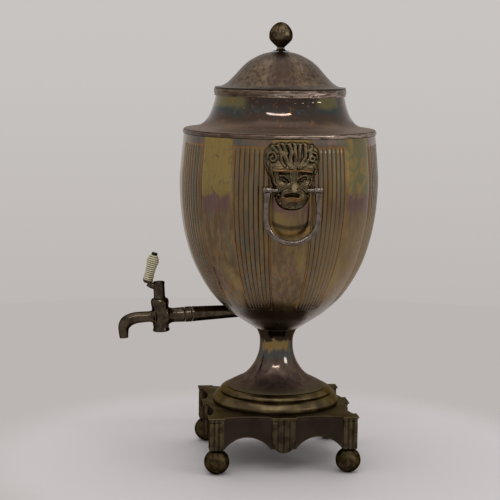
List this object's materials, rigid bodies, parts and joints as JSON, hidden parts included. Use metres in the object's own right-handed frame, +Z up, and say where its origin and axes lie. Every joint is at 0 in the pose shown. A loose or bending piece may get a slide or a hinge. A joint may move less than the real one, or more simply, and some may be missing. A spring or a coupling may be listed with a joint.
{
  "type": "tea urn",
  "caption": "Vase-shaped tea urn with a lift-off domed lid, lion mask handles with hanging bails, a plug tap with a turned grip, and a heating iron inside, on a square ball-footed plinth.",
  "frame": {"origin": "on the surface that the ball feet stand on, under the middle of the overall box", "axes": "+Z up along the body's axis, -Y the way the tap points, +X towards one of the two lion masks"},
  "size_m": [0.2238, 0.2662, 0.4499],
  "materials": {
    "tarnished_silver": "silver plate on copper, tarnished brown and yellow with faint iridescence",
    "dark_silver": "silver plate on copper, tarnished dark, still glossy",
    "old_bronze": "worn plate over brass, olive brown with bright edges",
    "tap_bronze": "dark brown patina, semi-gloss",
    "ivory": "turned, ringed, satin",
    "blackened": "black, matt",
    "tinned": "tinned copper, dull grey",
    "forged_iron": "forged, black scale"
  },
  "bodies": {
    "urn": {"foot_ball_front_right": "old_bronze", "foot_ball_back_right": "old_bronze", "foot_ball_back_left": "old_bronze", "foot_ball_front_left": "old_bronze", "foot_stud_front_right": "old_bronze", "foot_stud_back_right": "old_bronze", "foot_stud_back_left": "old_bronze", "foot_stud_front_left": "old_bronze", "corner_post_front_right": "old_bronze", "corner_post_back_right": "old_bronze", "corner_post_back_left": "old_bronze", "corner_post_front_left": "old_bronze", "plinth_panel_right": "old_bronze", "plinth_panel_back": "old_bronze", "plinth_panel_left": "old_bronze", "plinth_panel_front": "old_bronze", "reeded_boss_right": "old_bronze", "reeded_boss_back": "old_bronze", "reeded_boss_left": "old_bronze", "reeded_boss_front": "old_bronze", "plinth_plate": "old_bronze", "foot_rim": "old_bronze", "foot_bead": "old_bronze", "pedestal_stem": "dark_silver", "body_bowl": "tarnished_silver", "body_shell": "tarnished_silver", "shoulder_band": "tarnished_silver", "neck": "dark_silver", "mouth_band": "tarnished_silver", "lion_mask_right": "tarnished_silver", "lion_mask_left": "tarnished_silver", "bail_pivot_right": "tarnished_silver", "bail_pivot_left": "tarnished_silver", "outlet_pipe": "tap_bronze", "pipe_joint_ring": "old_bronze", "tap_body": "tap_bronze", "heater_sleeve": "tinned"},
    "lid": {"lid_dome": "tarnished_silver", "lid_bezel": "tinned", "finial_collar": "dark_silver", "finial_bud": "dark_silver", "finial_nut": "tinned"},
    "key": {"tap_plug": "tap_bronze", "plug_washer": "old_bronze", "plug_screw": "old_bronze", "key_grip": "ivory", "grip_cap": "blackened"},
    "iron": {"heater_iron": "forged_iron"},
    "cover": {"sleeve_cover": "tinned"},
    "bail_right": {"bail_right": "tarnished_silver"},
    "bail_left": {"bail_left": "tarnished_silver"}
  },
  "joints": [
    {"name": "lid_lift", "type": "slide", "parent": "urn", "child": "lid", "axis": [0, 0, 1], "range_m": [0, 0.12]},
    {"name": "tap_key", "type": "hinge", "parent": "urn", "child": "key", "pos_m": [0, -0.08887, 0.14908], "axis": [0, -0.0593, 0.9982], "continuous": true},
    {"name": "bail_right_swing", "type": "hinge", "parent": "urn", "child": "bail_right", "pos_m": [0.10842, 0.03145, 0.28963], "axis": [0, -1, 0], "range_deg": [-8, 170]},
    {"name": "bail_left_swing", "type": "hinge", "parent": "urn", "child": "bail_left", "pos_m": [-0.10842, 0.03145, 0.28963], "axis": [0, 1, 0], "range_deg": [-8, 170]},
    {"name": "cover_lift", "type": "slide", "parent": "urn", "child": "cover", "axis": [0, 0, 1], "range_m": [0, 0.04]},
    {"name": "iron_lift", "type": "slide", "parent": "urn", "child": "iron", "axis": [0, 0, 1], "range_m": [0, 0.04]}
  ]
}
